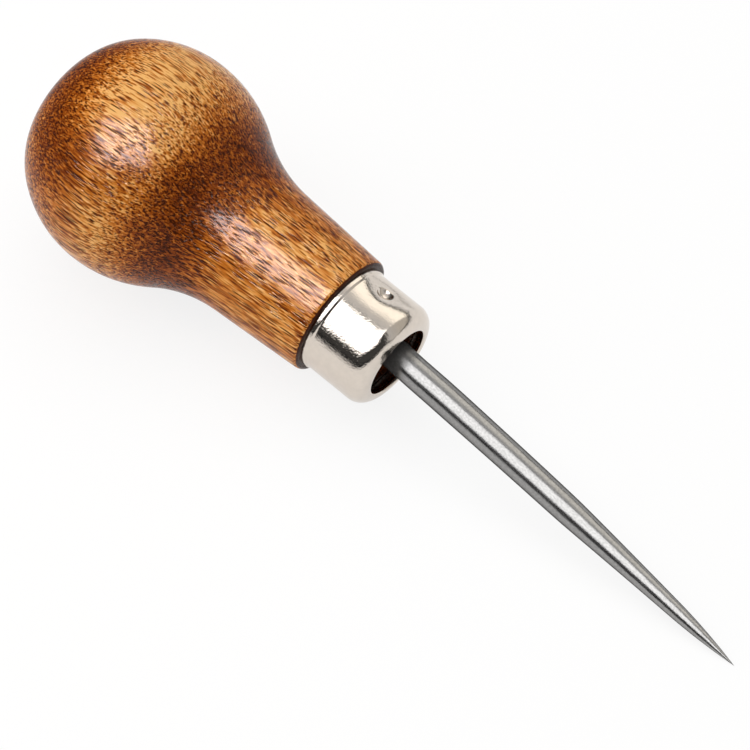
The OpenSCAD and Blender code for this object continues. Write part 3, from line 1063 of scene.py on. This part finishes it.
def ray_kinds(recipe):
    """Two switches: one for rays from the camera, and one for those from a camera, a mirror or glass."""
    path = recipe.add("ShaderNodeLightPath")
    camera = path.outputs["Is Camera Ray"]
    seen = recipe.sum("MAXIMUM", camera, path.outputs["Is Glossy Ray"])
    return camera, recipe.sum("MAXIMUM", seen, path.outputs["Is Transmission Ray"])


# The room that metal shows. An edge or a range is two values of one part of a direction, and light is a
# brightness where 1 is white.
SWEEP_CLIMB = -0.15
DROP_START = 0.15
DROP_RANGE = (0.0, 0.3)
DROP = 0.45
SWEEP_EDGE = (0.14, 0.21)
SWEEP_LIGHT = 0.97
CEILING_EDGE = (0.27, 0.33)
MIDDLE_RANGE = (-0.05, 0.12)
MIDDLE_LIGHT = (0.06, 0.72)
BACK_RANGE = (0.25, 0.65)
BACK_LIGHT = 0.85
GREY_RANGE = (0.22, 0.3)
GREY_LIGHT = 0.6
CREAM_RANGE = (0.1, 0.6)
CREAM = (1.0, 0.96, 0.88)
DARK_LEFT_RANGE = (-0.8, -0.45)
DARK_LEFT_SHARE = 0.12


def mirrored_room(recipe):
    """What metal shows of the room, by direction: its brightness and its colour.

    A pale sweep rises from the floor to an edge that climbs slowly towards the back and drops at the back
    right. Above a dark gap hangs a ceiling that is dark at the front, pale in the middle, brighter and creamy
    at the back, and at most grey on the right. The far left is dark.
    """
    heading = recipe.add("ShaderNodeTexCoord").outputs["Generated"]
    right, back, up = recipe.add("ShaderNodeSeparateXYZ", {0: heading}).outputs
    past_start = recipe.sum("MAXIMUM", recipe.sum("SUBTRACT", right, DROP_START), 0.0)
    level = recipe.sum("MULTIPLY_ADD", back, SWEEP_CLIMB, up)
    level = recipe.sum("MULTIPLY_ADD", past_start, recipe.between(back, *DROP_RANGE, 0.0, DROP), level)
    sweep = recipe.between(level, *SWEEP_EDGE, SWEEP_LIGHT, 0.0)
    above = recipe.between(level, *CEILING_EDGE)
    middle = recipe.between(back, *MIDDLE_RANGE, *MIDDLE_LIGHT)
    ceiling = recipe.sum("ADD", middle, recipe.between(back, *BACK_RANGE, 0.0, BACK_LIGHT))
    grey = recipe.sum("MINIMUM", ceiling, GREY_LIGHT)
    ceiling = recipe.mix(recipe.between(right, *GREY_RANGE), ceiling, grey)
    creamy = recipe.sum("MULTIPLY", above, recipe.between(back, *CREAM_RANGE))
    room = recipe.sum("MULTIPLY_ADD", ceiling, above, sweep)
    left = recipe.between(right, *DARK_LEFT_RANGE, DARK_LEFT_SHARE, 1.0)
    return recipe.sum("MULTIPLY", room, left), recipe.blend(creamy, opaque(WHITE), opaque(CREAM))


def add_world(stage):
    """Even light for the tool, white for the camera, and the room for mirrors."""
    world = bpy.data.worlds.new("studio")
    bpy.context.scene.world = world
    world.use_nodes = True
    world.node_tree.nodes.clear()
    recipe = Recipe(world.node_tree)
    camera, seen = ray_kinds(recipe)
    room, cream = mirrored_room(recipe)
    tint = recipe.blend(recipe.sum("SUBTRACT", seen, camera), opaque(WHITE), cream)
    strength = recipe.mix(seen, stage.room_level, recipe.mix(camera, room, 1.0))
    light = recipe.add("ShaderNodeBackground", {"Color": tint, "Strength": strength})
    recipe.add("ShaderNodeOutputWorld", {"Surface": light.outputs[0]})


# Half the floor's width, in metres, and how far it lies below the tool
FLOOR_HALF = 4.0
FLOOR_DROP = 0.1 * MM
# Shares of the paper's own light, which holds the shadow, and of glow, for mirrors and for the camera
MIRROR_PAPER = 0.35
MIRROR_GLOW = 0.65
CAMERA_PAPER = 0.16
CAMERA_GLOW = 0.85
# Where the floor falls off to the left, in metres, and what mirrors see beyond
LEFT_EDGE = (-0.13, -0.075)
LEFT_SHARE = 0.25


def add_floor(colours):
    """A wide pale floor that glows white to the camera and keeps a share of the tool's shadow."""
    corners = np.array([(-1, -1, 0), (1, -1, 0), (1, 1, 0), (-1, 1, 0)], float) * FLOOR_HALF
    mesh = bpy.data.meshes.new("floor")
    mesh.from_pydata((corners - (0.0, 0.0, FLOOR_DROP)).tolist(), [], [(0, 1, 2, 3)])
    floor = bpy.data.objects.new("floor", mesh)
    bpy.context.scene.collection.objects.link(floor)
    material, recipe = material_for("floor_paper")
    camera, seen = ray_kinds(recipe)
    place = recipe.add("ShaderNodeSeparateXYZ", {0: recipe.add("ShaderNodeTexCoord").outputs["Object"]})
    left = recipe.between(place.outputs["X"], *LEFT_EDGE, LEFT_SHARE, 1.0)
    mirror_paper = recipe.sum("MULTIPLY", left, MIRROR_PAPER)
    mirror_glow = recipe.sum("MULTIPLY", left, MIRROR_GLOW)
    paper_share = recipe.mix(seen, 1.0, recipe.mix(camera, mirror_paper, CAMERA_PAPER))
    glow_share = recipe.mix(seen, 0.0, recipe.mix(camera, mirror_glow, CAMERA_GLOW))
    tint = recipe.blend(1.0, opaque(colours.floor), paper_share, "MULTIPLY")
    paper = recipe.add("ShaderNodeBsdfDiffuse", {"Color": tint})
    glow = recipe.add("ShaderNodeEmission", {"Color": opaque(colours.floor), "Strength": glow_share})
    both = recipe.add("ShaderNodeAddShader", {0: paper.outputs[0], 1: glow.outputs[0]})
    close_material(recipe, both.outputs[0])
    mesh.materials.append(material)


# Directions of the lamps, the way their width runs, their widths and heights in metres, and the key's colour
KEY_WAY = Vector((-0.1913, -0.0036, 0.9813))
FILL_WAY = Vector((-0.664, -0.679, 0.296))
VARNISH_WAY = Vector((-0.1065, -0.4844, 0.8679))
METAL_WAY = Vector((-0.19, -0.482, 0.855))
KEY_WIDTH_WAY = Vector((1.0, 0.0, 0.0))
SOFTBOX_WIDTH_WAY = Vector((0.8529, 0.3345, 0.4006))
KEY_SIZE = (1.2, 1.4)
FILL_SIZE = (1.0, 0.77)
VARNISH_SIZE = (0.66, 0.52)
METAL_SIZE = (1.24, 0.71)
KEY_TINT = (1.0, 0.985, 0.96)


def light_only(lamp, names):
    """Keeps a lamp's light to the gloss of some pieces."""
    group = bpy.data.collections.new(lamp.name + "_pieces")
    for name in names:
        group.objects.link(bpy.context.scene.objects[name])
    lamp.light_linking.receiver_collection = group
    lamp.visible_diffuse = False


class BRADAWL_OT_add_stage(bpy.types.Operator):
    """Adds the camera, the lights, the world and the floor round the finished pieces"""

    bl_idname = "bradawl.add_stage"
    bl_label = "Add Stage"

    def execute(self, context):
        settings = context.scene.bradawl
        stage = settings.stage
        context.scene.view_settings.view_transform = "Standard"
        add_camera(stage)
        add_world(stage)
        add_floor(settings.colours)
        key = add_lamp("key", KEY_WAY, KEY_WIDTH_WAY, KEY_SIZE, stage.key_level, KEY_TINT)
        fill = add_lamp("fill", FILL_WAY, SOFTBOX_WIDTH_WAY, FILL_SIZE, stage.fill_level, WHITE)
        for lamp in (key, fill):
            lamp.visible_glossy = False
        varnish = add_lamp("varnish_glint", VARNISH_WAY, SOFTBOX_WIDTH_WAY, VARNISH_SIZE,
                           stage.varnish_level, WHITE)
        light_only(varnish, (HANDLE_NAME,))
        metal = add_lamp("metal_glint", METAL_WAY, SOFTBOX_WIDTH_WAY, METAL_SIZE, stage.metal_level, WHITE)
        light_only(metal, (FERRULE_NAME, BLADE_NAME))
        return {"FINISHED"}


class BRADAWL_PT_panel(bpy.types.Panel):
    """Lists the steps that build the bradawl"""

    bl_idname = "BRADAWL_PT_panel"
    bl_label = "Bradawl"
    bl_space_type = "VIEW_3D"
    bl_region_type = "UI"
    bl_category = "Bradawl"

    def draw(self, context):
        settings = context.scene.bradawl
        for operator in OPERATORS:
            self.layout.operator(operator.bl_idname)
        for group in (settings.handle, settings.ferrule, settings.blade, settings.colours, settings.stage):
            box = self.layout.box()
            for name in group.bl_rna.properties.keys():
                if name not in ("rna_type", "name"):
                    box.prop(group, name)


OPERATORS = (BRADAWL_OT_add_handle, BRADAWL_OT_add_ferrule, BRADAWL_OT_add_blade, BRADAWL_OT_add_stage)
GROUPS = (HandleSizes, FerruleSizes, BladeSizes, Colours, StageSettings, BradawlSettings)


def register():
    """Adds the classes and the settings to Blender."""
    for group in GROUPS + OPERATORS + (BRADAWL_PT_panel,):
        bpy.utils.register_class(group)
    bpy.types.Scene.bradawl = PointerProperty(type=BradawlSettings)


def unregister():
    """Takes the classes and the settings out of Blender."""
    del bpy.types.Scene.bradawl
    for group in reversed(GROUPS + OPERATORS + (BRADAWL_PT_panel,)):
        bpy.utils.unregister_class(group)


def main():
    """Builds the three pieces and the stage."""
    register()
    bpy.ops.bradawl.add_handle()
    bpy.ops.bradawl.add_ferrule()
    bpy.ops.bradawl.add_blade()
    bpy.ops.bradawl.add_stage()


if __name__ == "__main__":
    main()
